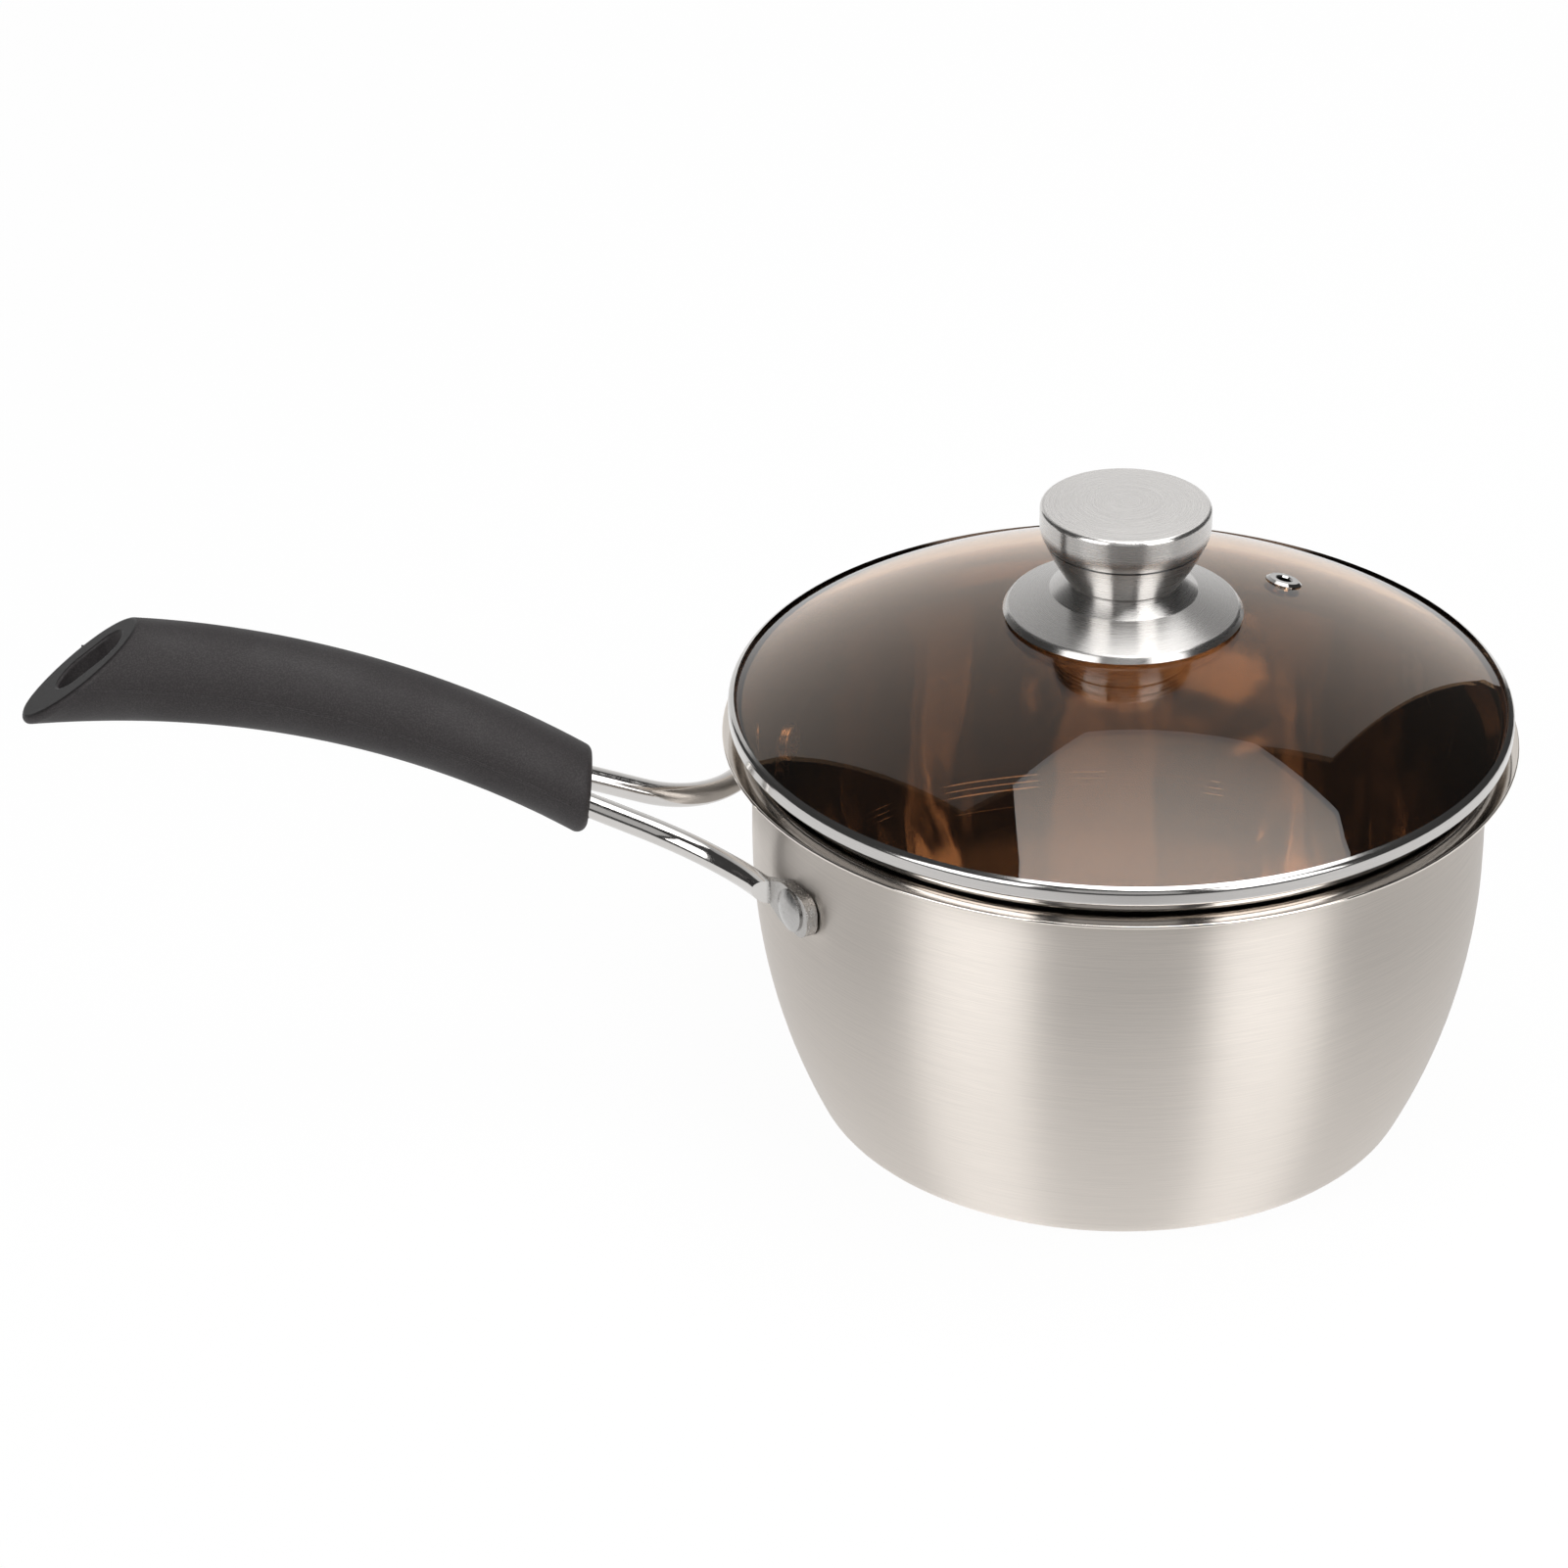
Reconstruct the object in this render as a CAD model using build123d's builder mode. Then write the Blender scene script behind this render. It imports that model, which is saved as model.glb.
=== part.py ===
"""Saucepan with a riveted two-rod handle and a domed glass lid.

Millimetres, +Z up. The origin is on the pan's axis, on the plane that the base stands on.
The handle runs along -X. Left and right are as seen by the person who holds it.
"""
import os
from math import acos, asin, atan2, cos, degrees, radians, sin, sqrt, tan

from build123d import *

os.makedirs("parts", exist_ok=True)

# Pan: one deep-drawn sheet with a flat base, a bellied wall and a flared lip
sheet = 0.9
wall_radius = 92.0
base_inset = 24.0
base_corner_radius = 9.0
belly_drop = 29.0
lip_top = 104.0
lip_width = 7.5
flare_radius = 4.0
lip_edge_round = 0.4

# Rivets and the two rods that carry the grip
rivet_spacing = 84.8
rivet_drop = 25.3
rivet_shank_radius = 2.5
rivet_head_radius = 5.4
rivet_head_edge = 0.5
rivet_dome_height = 1.4
rivet_inner_head_radius = 4.6
rivet_inner_head_height = 1.5
rivet_inner_head_round = 0.75
rod_radius = 3.1
lug_height = 11.2
lug_thickness = 3.0
lug_before_rivet = 10.0
lug_after_rivet = 8.0
lug_corner_radius = 4.6
lug_shoulder_start = 18.0
lug_shoulder_end = 4.5
lug_shoulder_round = 6.0
lug_ramp_angle = 45.0
lug_gap = 0.1
rod_lift = 0.2
bend_reach = 35.8
bend_drop = 2.0
bend_radius = 36.0
knee_depth = 13.0
knee_radius = 40.0
knee_drop = 9.8
rod_spacing = 10.5
tail_depth = 43.0
tail_rise = 4.4
tail_groove_depth = 0.8
tail_groove_length = 4.0
tail_groove_inset = 5.0

# Grip: an oval moulding on an arched spine, with a slanted end and a hanging slot
grip_standoff = 33.5
grip_spine_radius = 226.5
grip_crest_reach = 125.3
grip_crest_rise = 22.6
grip_width = 24.0
grip_height_at_pan = 19.4
grip_height_at_crest = 26.6
grip_reach = 140.5
grip_spans = 3
grip_overrun = 4.0
grip_end_slant = 39.5
grip_end_height = 10.4
grip_face_lean = 6.0
grip_face_round = 2.5
grip_end_round = 1.4
grip_nose_round = 4.5
slot_length = 16.2
slot_width = 10.5
slot_inset = 18.3
slot_edge_round = 0.7

# Lid: a tempered dome, its rolled steel band and a steam vent
seat_gap = 0.3
band_sheet = 0.6
band_inset = 1.5
band_rise = 4.2
band_skirt_inset = 5.1
band_collar_depth = 5.0
band_bend_radius = 0.9
hem_width = 1.5
hem_round = 1.15
glass_thickness = 3.5
glass_sphere_radius = 188.0
glass_edge_round = 0.6
glass_fit = 0.15
vent_reach = 48.0
vent_angle = 27.5
vent_hole_radius = 3.0
vent_bore_radius = 1.9
vent_flange_radius = 4.6
vent_flange_thickness = 0.8
vent_back_radius = 4.2
vent_back_thickness = 0.6

# Knob: pressed cap and cup over a flared skirt, pulled down on the glass by one screw
knob_sheet = 0.8
knob_hole_radius = 4.5
skirt_radius = 29.5
skirt_edge_gap = 0.5
skirt_hole_gap = 0.8
skirt_rise = 9.7
skirt_crease_radius = 18.2
skirt_crease_drop = 3.9
skirt_crease_round = 1.5
skirt_rim_width = 0.9
skirt_rim_drop = 1.4
skirt_rim_round = 1.1
neck_radius = 14.0
cup_base_radius = 14.4
cup_height = 10.05
cup_corner_radius = 0.8
cup_side_radius = 42.0
cap_radius = 21.2
cap_turn_rise = 4.1
cap_turn_radius = 7.6
cap_side_height = 5.0
cap_edge_round = 1.1
cap_crown = 1.2
seam_edge_round = 0.25
screw_radius = 2.5
screw_head_radius = 4.8
screw_head_height = 2.8
nut_radius = 5.5
nut_height = 8.0
washer_radius = 9.0
washer_thickness = 1.0
pad_radius = 10.0
pad_thickness = 1.2
ring_inner_radius = 25.5
ring_outer_radius = 28.2

# Values that follow from the sizes above
lip_radius = wall_radius + lip_width
inner_wall_radius = wall_radius - sheet
flare_start = lip_top - flare_radius
flare_centre_radius = inner_wall_radius + flare_radius
base_radius = wall_radius - base_inset
belly_top = lip_top - belly_drop
belly_lean = 2 * degrees(atan2(base_inset - base_corner_radius, belly_top - base_corner_radius))
corner_sweep = 90.0 - belly_lean
corner_width = base_corner_radius * sin(radians(corner_sweep))
belly_radius = (base_inset - corner_width) / (1.0 - cos(radians(belly_lean)))
rivet_angle = asin(rivet_spacing / 2 / wall_radius)
rivet_height = lip_top - rivet_drop
rivet_dome_radius = (rivet_head_radius**2 + rivet_dome_height**2) / (2 * rivet_dome_height)
grip_face = lip_radius + grip_standoff
band_radius = lip_radius - band_inset
band_skirt_radius = lip_radius - band_skirt_inset
glass_edge_radius = band_radius - band_sheet - glass_fit
band_floor = lip_top + band_rise
glass_edge_angle = degrees(asin(glass_edge_radius / glass_sphere_radius))
glass_edge_height = band_floor + band_sheet + glass_fit + glass_thickness * cos(radians(glass_edge_angle))
glass_centre = glass_edge_height - glass_sphere_radius * cos(radians(glass_edge_angle))
glass_inner_radius = glass_sphere_radius - glass_thickness


def dome_height(radius, sphere=glass_sphere_radius):
    """Height of the glass surface at a distance from the lid's axis."""
    return glass_centre + sqrt(sphere**2 - radius**2)


skirt_edge_height = dome_height(skirt_radius) + skirt_edge_gap
neck_top = skirt_edge_height + skirt_rise
seam_height = neck_top + cup_height
cap_turn_angle = degrees(asin(cap_turn_rise / cap_turn_radius))
seam_radius = cap_radius - cap_turn_radius * (1.0 - cos(radians(cap_turn_angle)))
cap_edge = seam_height + cap_turn_rise + cap_side_height
pad_bottom = dome_height(pad_radius, glass_inner_radius) - pad_thickness
washer_bottom = pad_bottom - washer_thickness


def save(builder, name):
    """Label one finished piece and write it to its own file."""
    builder.part.label = name
    export_step(builder.part, f"parts/{name}.step")


# Rivet planes: at the back of each lug, X along the lug away from the grip, Z out of the wall
rivet_planes = {}
for side, turn in (("left", -1), ("right", 1)):
    outward = Vector(-cos(rivet_angle), -turn * sin(rivet_angle), 0)
    along = Vector(sin(rivet_angle), -turn * cos(rivet_angle), 0)
    foot = outward * (wall_radius + lug_gap) + Vector(0, 0, rivet_height)
    rivet_planes[side] = Plane(foot, x_dir=along, z_dir=outward)

# Pan body: the outer profile from the axis to the lip, thickened inwards and revolved
with BuildPart() as pan_body:
    with BuildSketch(Plane.XZ) as pan_profile:
        with BuildLine():
            base = Line((0, 0), (base_radius, 0))
            corner = JernArc(base @ 1, base % 1, base_corner_radius, corner_sweep)
            belly = JernArc(corner @ 1, corner % 1, belly_radius, belly_lean)
            wall = Line(belly @ 1, (wall_radius, flare_start))
            flare = JernArc(wall @ 1, (0, 1), flare_radius - sheet, -90)
            Line(flare @ 1, (lip_radius, lip_top - sheet))
            offset(amount=sheet, side=Side.LEFT)
        make_face()
        fillet(pan_profile.vertices().group_by(Axis.X)[-1], lip_edge_round)
    revolve(axis=Axis.Z)
    for plane in rivet_planes.values():
        with BuildSketch(plane):
            Circle(rivet_shank_radius)
        extrude(amount=-2 * (lug_gap + sheet), mode=Mode.SUBTRACT)
save(pan_body, "pan_body")

# Arms: a round rod that bends out of the grip, ends on a ramp and is flattened into a riveted lug
rod_height = rod_radius + rod_lift
ramp = radians(lug_ramp_angle)
arms = {}
for side, turn in (("left", -1), ("right", 1)):
    lug_plane = rivet_planes[side]
    ramp_foot = lug_plane.from_local_coords((-lug_before_rivet, 0, lug_thickness))
    ramp_normal = lug_plane.x_dir * sin(ramp) + lug_plane.z_dir * cos(ramp)
    rod_start = lug_plane.from_local_coords((-lug_before_rivet, 0, rod_height))
    bend = lug_plane.from_local_coords((-bend_reach, 0, rod_height)) - Vector(0, 0, bend_drop)
    knee = Vector(-grip_face - knee_depth, -turn * rod_spacing / 2, lip_top - knee_drop)
    tail = Vector(-grip_face - tail_depth, -turn * rod_spacing / 2, lip_top + tail_rise)
    tail_axis = (tail - knee).normalized()
    with BuildPart() as arm:
        with BuildLine() as path:
            FilletPolyline(rod_start, bend, knee, tail, radius=[bend_radius, knee_radius])
        with BuildSketch(Plane(path.line @ 0, z_dir=path.line % 0)):
            Circle(rod_radius)
        sweep()
        split(bisect_by=Plane(ramp_foot, z_dir=ramp_normal), keep=Keep.BOTTOM)
        with BuildSketch(lug_plane) as lug:
            with BuildLine():
                Polyline(
                    (-lug_shoulder_start, 0),
                    (-lug_shoulder_end, lug_height / 2),
                    (lug_after_rivet, lug_height / 2),
                    (lug_after_rivet, -lug_height / 2),
                    (-lug_shoulder_end, -lug_height / 2),
                    close=True,
                )
            make_face()
            fillet(lug.vertices().group_by(Axis.X)[1], lug_shoulder_round)
            fillet(lug.vertices().group_by(Axis.X)[-1], lug_corner_radius)
            Circle(rivet_shank_radius, mode=Mode.SUBTRACT)
        extrude(amount=lug_thickness)
        groove_start = tail - tail_axis * (tail_groove_inset + tail_groove_length)
        with BuildSketch(Plane(groove_start, z_dir=tail_axis)):
            Circle(rod_radius + tail_groove_depth)
            Circle(rod_radius - tail_groove_depth, mode=Mode.SUBTRACT)
        extrude(amount=tail_groove_length, mode=Mode.SUBTRACT)
    arms[side] = arm
    save(arm, f"{side}_arm")

# Rivets: a head formed against the wall inside, a shank, and a low domed head on the lug
for side, lug_plane in rivet_planes.items():
    wall_inside = lug_plane.offset(-lug_gap - sheet)
    with BuildPart() as rivet:
        with BuildSketch(wall_inside.offset(-rivet_inner_head_height)):
            Circle(rivet_inner_head_radius)
        extrude(amount=rivet_inner_head_height + sheet)
        with BuildSketch(Plane.XY):
            Circle(inner_wall_radius)
        extrude(amount=lip_top, mode=Mode.INTERSECT)
        fillet(rivet.edges().filter_by(GeomType.CIRCLE), rivet_inner_head_round)
        with BuildSketch(wall_inside.offset(-rivet_inner_head_height / 2)):
            Circle(rivet_shank_radius)
        extrude(amount=rivet_inner_head_height / 2 + sheet + lug_gap + lug_thickness)
        with BuildSketch(Plane(lug_plane.origin, x_dir=lug_plane.x_dir, z_dir=-lug_plane.y_dir)):
            with BuildLine():
                head_top = (0, lug_thickness + rivet_head_edge + rivet_dome_height)
                head_rim = (rivet_head_radius, lug_thickness + rivet_head_edge)
                RadiusArc(head_top, head_rim, rivet_dome_radius)
                Polyline(head_rim, (rivet_head_radius, lug_thickness), (0, lug_thickness), head_top)
            make_face()
        revolve(axis=Axis(lug_plane.origin, lug_plane.z_dir))
    save(rivet, f"{side}_rivet")

# Grip: ovals lofted along the arched spine, cut almost upright at the pan and on the slant at the end
spine_centre = (-grip_face - grip_crest_reach, lip_top + grip_crest_rise - grip_spine_radius)
pan_end_angle = degrees(asin(grip_crest_reach / grip_spine_radius))
far_end_angle = degrees(asin((grip_reach - grip_crest_reach) / grip_spine_radius))
middle_angles = [pan_end_angle * span / grip_spans for span in range(grip_spans - 1, -1, -1)]
station_angles = [pan_end_angle + grip_overrun, *middle_angles, -far_end_angle - grip_overrun]
slant = radians(grip_end_slant)
nose = Vector(-grip_face - grip_reach, lip_top + grip_end_height)
slant_top = nose + Vector(cos(slant), sin(slant)) * grip_reach
face_height = spine_centre[1] + grip_spine_radius * cos(radians(pan_end_angle))
face_lean = tan(radians(grip_face_lean))
face_foot = (-grip_face - face_height * face_lean, 0)
face_top = (-grip_face + (slant_top.Y - face_height) * face_lean, slant_top.Y)
slot_place = (-grip_face - grip_reach + slot_inset, 0)

with BuildPart() as handle_grip:
    for station in station_angles:
        lean = radians(station)
        station_place = Vector(
            spine_centre[0] + grip_spine_radius * sin(lean),
            0,
            spine_centre[1] + grip_spine_radius * cos(lean),
        )
        share = min(max(station / pan_end_angle, 0), 1)
        height = grip_height_at_crest + (grip_height_at_pan - grip_height_at_crest) * share
        with BuildSketch(Plane(station_place, x_dir=(0, 1, 0), z_dir=(cos(lean), 0, -sin(lean)))):
            Ellipse(grip_width / 2, height / 2)
    loft()
    with BuildSketch(Plane.XZ) as side_view:
        with BuildLine():
            Polyline(slant_top, nose, (nose.X, 0), face_foot, face_top, close=True)
        make_face()
        fillet(side_view.vertices().sort_by_distance(nose)[0], grip_nose_round)
    extrude(amount=grip_width, both=True, mode=Mode.INTERSECT)
    fillet(handle_grip.faces().sort_by(Axis.X)[-1].edges(), grip_face_round)
    end_faces = handle_grip.faces().filter_by(GeomType.BSPLINE, reverse=True).sort_by(Axis.X)[:-1]
    fillet(end_faces.edges().filter_by(GeomType.LINE, reverse=True), grip_end_round)
    with BuildSketch(Plane.XY):
        with Locations(slot_place):
            SlotOverall(slot_length, slot_width)
    extrude(amount=2 * lip_top, mode=Mode.SUBTRACT)
    slant_face = handle_grip.faces().filter_by(GeomType.PLANE).sort_by(Axis.X)[0]
    fillet(slant_face.inner_wires()[0].edges(), slot_edge_round)
    for arm in arms.values():
        add(arm.part, mode=Mode.SUBTRACT)
save(handle_grip, "handle_grip")

# Glass: two concentric spheres, with the rim cut square to the surface
edge_from_x = 90.0 - glass_edge_angle
outer_hole_angle = degrees(acos(knob_hole_radius / glass_sphere_radius))
inner_hole_angle = degrees(acos(knob_hole_radius / glass_inner_radius))
vent_lean = asin(vent_reach / glass_sphere_radius)
vent_turn = radians(vent_angle)
vent_axis = Vector(sin(vent_lean) * cos(vent_turn), sin(vent_lean) * sin(vent_turn), cos(vent_lean))
vent_top = Vector(0, 0, glass_centre) + vent_axis * glass_sphere_radius
vent_plane = Plane(vent_top, z_dir=vent_axis)

with BuildPart() as lid_glass:
    with BuildSketch(Plane.XZ) as glass_profile:
        with BuildLine():
            sphere_centre = (0, glass_centre)
            outer = CenterArc(sphere_centre, glass_sphere_radius, edge_from_x, outer_hole_angle - edge_from_x)
            inner = CenterArc(sphere_centre, glass_inner_radius, edge_from_x, inner_hole_angle - edge_from_x)
            Line(outer @ 0, inner @ 0)
            Line(outer @ 1, inner @ 1)
        make_face()
        fillet(glass_profile.vertices().group_by(Axis.Y)[:2], glass_edge_round)
    revolve(axis=Axis.Z)
    with BuildSketch(vent_plane):
        Circle(vent_hole_radius)
    extrude(amount=2 * glass_thickness, both=True, mode=Mode.SUBTRACT)
save(lid_glass, "lid_glass")

# Band: sheet rolled over the glass edge, under it, down to the lip and into the mouth
wall_line = band_radius - band_sheet / 2
skirt_line = band_skirt_radius - band_sheet / 2
floor_line = band_floor + band_sheet / 2
hem_lean = radians(glass_edge_angle)
hem_lift = glass_fit + band_sheet / 2
hem_reach = (wall_line - glass_edge_radius - hem_lift * sin(hem_lean)) / cos(hem_lean)
glass_rim_top = Vector(glass_edge_radius, glass_edge_height)
hem_out = Vector(sin(hem_lean), cos(hem_lean))
hem_down = Vector(cos(hem_lean), -sin(hem_lean))
hem_corner = glass_rim_top + hem_out * hem_lift + hem_down * hem_reach
hem_edge = hem_corner - hem_down * hem_width
cone_lift = sqrt(2) * (flare_radius + seat_gap + band_sheet / 2) - flare_centre_radius + flare_start
collar_line = flare_centre_radius - flare_radius - seat_gap - band_sheet / 2
band_path = [
    hem_edge,
    hem_corner,
    (wall_line, floor_line),
    (skirt_line, floor_line),
    (skirt_line, skirt_line + cone_lift),
    (collar_line, collar_line + cone_lift),
    (collar_line, lip_top - band_collar_depth),
]

with BuildPart() as lid_band:
    with BuildSketch(Plane.XZ):
        with BuildLine():
            FilletPolyline(*band_path, radius=[hem_round] + [band_bend_radius] * (len(band_path) - 3))
        trace(line_width=band_sheet)
    revolve(axis=Axis.Z)
save(lid_band, "lid_band")

# Vent: a steel eyelet through the glass, its back end rolled over underneath
back_sag = vent_back_radius**2 / (2 * glass_inner_radius)
back_top = -glass_thickness - back_sag
with BuildPart() as vent_eyelet:
    with BuildSketch(Plane(vent_top, x_dir=vent_plane.x_dir, z_dir=-vent_plane.y_dir)):
        with BuildLine():
            Polyline(
                (vent_bore_radius, vent_flange_thickness / 2),
                (vent_bore_radius + vent_flange_thickness / 2, vent_flange_thickness),
                (vent_flange_radius - vent_flange_thickness, vent_flange_thickness),
                (vent_flange_radius, vent_flange_thickness / 4),
                (vent_flange_radius, 0),
                (vent_hole_radius, 0),
                (vent_hole_radius, back_top),
                (vent_back_radius, back_top),
                (vent_back_radius, back_top - vent_back_thickness),
                (vent_bore_radius, back_top - vent_back_thickness),
                close=True,
            )
        make_face()
    revolve(axis=Axis(vent_top, vent_axis))
save(vent_eyelet, "vent_eyelet")

# Skirt: a pressed flare with a crease round it, whose turned-down rim stands just off the glass
skirt_path = [
    (screw_radius + skirt_hole_gap, neck_top - knob_sheet / 2),
    (neck_radius - knob_sheet / 2, neck_top - knob_sheet / 2),
    (skirt_crease_radius, neck_top - skirt_crease_drop),
    (skirt_radius - skirt_rim_width, skirt_edge_height + skirt_rim_drop),
    (skirt_radius, skirt_edge_height),
]
with BuildPart() as knob_skirt:
    with BuildSketch(Plane.XZ):
        with BuildLine():
            FilletPolyline(*skirt_path, radius=[cup_corner_radius, skirt_crease_round, skirt_rim_round])
        trace(line_width=knob_sheet)
    revolve(axis=Axis.Z)
save(knob_skirt, "knob_skirt")

# Cup: the lower half of the knob, a bellied cone with a flat bottom, trimmed level at the seam
seam = Vector(seam_radius, seam_height)
cup_foot = Vector(cup_base_radius, neck_top)
with BuildPart() as knob_cup:
    with BuildSketch(Plane.XZ) as cup_profile:
        with BuildLine() as cup_line:
            Line((screw_radius, neck_top), cup_foot)
            cup_side = RadiusArc(cup_foot, seam, -cup_side_radius)
            Line(seam, seam + (cup_side % 1) * knob_sheet)
            fillet(cup_line.vertices().sort_by_distance(cup_foot)[0], cup_corner_radius)
            offset(amount=knob_sheet, side=Side.LEFT)
        make_face()
        with Locations((0, seam_height)):
            Rectangle(cap_radius, cup_height, align=Align.MIN, mode=Mode.SUBTRACT)
        fillet(cup_profile.vertices().group_by(Axis.Y)[-1].sort_by(Axis.X)[-1], seam_edge_round)
    revolve(axis=Axis.Z)
save(knob_cup, "knob_cup")

# Cap: the upper half, turned out of the seam to an upright side and closed by a low crown
crown_radius = (cap_radius**2 + cap_crown**2) / (2 * cap_crown)
with BuildPart() as knob_cap:
    with BuildSketch(Plane.XZ) as cap_profile:
        with BuildLine() as cap_line:
            crown = RadiusArc((0, cap_edge + cap_crown), (cap_radius, cap_edge), crown_radius)
            cap_side = Line(crown @ 1, crown @ 1 - Vector(0, cap_side_height))
            cap_turn = JernArc(cap_side @ 1, cap_side % 1, cap_turn_radius, -cap_turn_angle)
            Line(seam, seam + (cap_turn % 1) * knob_sheet)
            fillet(cap_line.vertices().sort_by_distance(crown @ 1)[0], cap_edge_round)
            offset(amount=knob_sheet, side=Side.RIGHT)
        make_face()
        with Locations((0, seam_height)):
            Rectangle(cap_radius, cup_height, align=(Align.MIN, Align.MAX), mode=Mode.SUBTRACT)
        fillet(cap_profile.vertices().group_by(Axis.Y)[0].sort_by(Axis.X)[-1], seam_edge_round)
    revolve(axis=Axis.Z)
save(knob_cap, "knob_cap")

# Nut: a round threaded boss fixed to the floor of the cup
with BuildPart() as knob_nut:
    with BuildSketch(Plane.XY.offset(neck_top + knob_sheet)):
        Circle(nut_radius)
        Circle(screw_radius, mode=Mode.SUBTRACT)
    extrude(amount=nut_height)
save(knob_nut, "knob_nut")

# Washer and screw under the glass
with BuildPart() as knob_washer:
    with BuildSketch(Plane.XY.offset(washer_bottom)):
        Circle(washer_radius)
        Circle(screw_radius, mode=Mode.SUBTRACT)
    extrude(amount=washer_thickness)
save(knob_washer, "knob_washer")

with BuildPart() as knob_screw:
    with BuildSketch(Plane.XY.offset(washer_bottom)):
        Circle(screw_head_radius)
    extrude(amount=-screw_head_height)
    fillet(knob_screw.edges().group_by(Axis.Z)[0], screw_head_height / 3)
    with BuildSketch(Plane.XY.offset(washer_bottom)):
        Circle(screw_radius)
    extrude(amount=neck_top + knob_sheet + nut_height - washer_bottom)
save(knob_screw, "knob_screw")

# Pad: a soft disc that follows the hollow of the glass and fills its hole round the screw
with BuildPart() as glass_pad:
    with BuildSketch(Plane.XY.offset(pad_bottom)):
        Circle(pad_radius)
        Circle(screw_radius, mode=Mode.SUBTRACT)
    extrude(amount=pad_thickness + glass_thickness)
    add(lid_glass.part, mode=Mode.SUBTRACT)
    with BuildSketch(Plane.XY.offset(dome_height(knob_hole_radius))):
        Circle(2 * pad_radius)
    extrude(amount=glass_thickness, mode=Mode.SUBTRACT)
save(glass_pad, "glass_pad")

# Ring: a soft wedge between the skirt and the glass, just inside the skirt's edge
with BuildPart() as skirt_ring:
    with BuildSketch(Plane.XZ):
        crease = Vector(skirt_path[2])
        rim = Vector(skirt_path[3])
        slope = (rim.Y - crease.Y) / (rim.X - crease.X)
        with BuildLine():
            Polyline(
                (ring_inner_radius, dome_height(ring_inner_radius) - glass_thickness / 2),
                (ring_outer_radius, dome_height(ring_outer_radius) - glass_thickness / 2),
                (ring_outer_radius, rim.Y + slope * (ring_outer_radius - rim.X)),
                (ring_inner_radius, rim.Y + slope * (ring_inner_radius - rim.X)),
                close=True,
            )
        make_face()
    revolve(axis=Axis.Z)
    add(lid_glass.part, mode=Mode.SUBTRACT)
    add(knob_skirt.part, mode=Mode.SUBTRACT)
save(skirt_ring, "skirt_ring")
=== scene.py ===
# %% [markdown]
# # Saucepan with a glass lid
# The imported CAD model holds every piece at its real size. This lesson gives the pieces their
# finishes, adds the fine moulding lines that the CAD model leaves out, and lights the pan on a
# white table. The frame comes first, because every later step is placed by it.

# %% Load the frame
from math import radians

import bpy
import numpy as np
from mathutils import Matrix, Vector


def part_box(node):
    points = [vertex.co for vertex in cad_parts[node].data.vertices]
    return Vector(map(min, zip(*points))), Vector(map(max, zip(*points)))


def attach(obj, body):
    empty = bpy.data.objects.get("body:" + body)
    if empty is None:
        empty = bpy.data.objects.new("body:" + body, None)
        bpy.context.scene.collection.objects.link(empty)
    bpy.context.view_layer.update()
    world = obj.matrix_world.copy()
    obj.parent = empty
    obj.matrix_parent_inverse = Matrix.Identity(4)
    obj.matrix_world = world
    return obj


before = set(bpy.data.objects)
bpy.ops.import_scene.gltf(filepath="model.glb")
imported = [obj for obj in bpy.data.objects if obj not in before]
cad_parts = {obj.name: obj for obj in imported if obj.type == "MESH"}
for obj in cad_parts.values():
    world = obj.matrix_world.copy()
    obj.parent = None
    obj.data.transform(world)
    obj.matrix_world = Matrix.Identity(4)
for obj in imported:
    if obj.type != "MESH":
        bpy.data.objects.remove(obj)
scene = bpy.context.scene
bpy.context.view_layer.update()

# %% [markdown]
# ## Camera
# A long lens far from the pan keeps the ellipses of the rim and the base nearly alike, as in a
# product picture. A short lens close by would make the near side swell. The place, the downward
# pitch and the small swing to the right were fitted to the rim, the lid band, the base and the
# knob, so no shift of the lens is needed.

# %% Camera
CAMERA_PLACE = (-0.1448, -1.3913, 0.8543)
CAMERA_PITCH = 28.76
CAMERA_SWING = 2.5
CAMERA_LENS = 145.5
SENSOR_WIDTH = 36.0

camera_data = bpy.data.cameras.new("camera")
camera_data.lens = CAMERA_LENS
camera_data.sensor_width = SENSOR_WIDTH
camera = bpy.data.objects.new("camera", camera_data)
camera.location = CAMERA_PLACE
camera.rotation_euler = (radians(90 - CAMERA_PITCH), 0, -radians(CAMERA_SWING))
scene.collection.objects.link(camera)
scene.camera = camera
scene.view_settings.view_transform = "Standard"
print("camera at", CAMERA_PLACE, "with a", CAMERA_LENS, "mm lens")

# %% [markdown]
# ## Node helpers
# A material is a small graph. It can be drawn by hand in the shader editor, but in a script every
# node takes several lines. These helpers add a node with its values set and join its sockets, so
# that each finish below reads as a list of steps.


# %% Node helpers
def add_node(tree, kind, settings=None, **inputs):
    """Add one node, set its properties and fill its inputs: a socket is linked, a value is set.

    An input goes by its name, with _ for a space, or by its number after the letter i.
    """
    node = tree.nodes.new(kind)
    for name, value in (settings or {}).items():
        setattr(node, name, value)
    for name, value in inputs.items():
        numbered = name[0] == "i" and name[1:].isdigit()
        key = int(name[1:]) if numbered else name.replace("_", " ")
        if isinstance(value, bpy.types.NodeSocket):
            tree.links.new(value, node.inputs[key])
        else:
            node.inputs[key].default_value = value
    return node


def new_material(name):
    """An empty material with its output node; returns the material, its tree and the output."""
    material = bpy.data.materials.new(name)
    material.use_nodes = True
    tree = material.node_tree
    tree.nodes.clear()
    return material, tree, tree.nodes.new("ShaderNodeOutputMaterial")


def object_point(tree):
    """The point on the piece, in the frame, in metres."""
    return add_node(tree, "ShaderNodeTexCoord").outputs["Object"]


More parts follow.
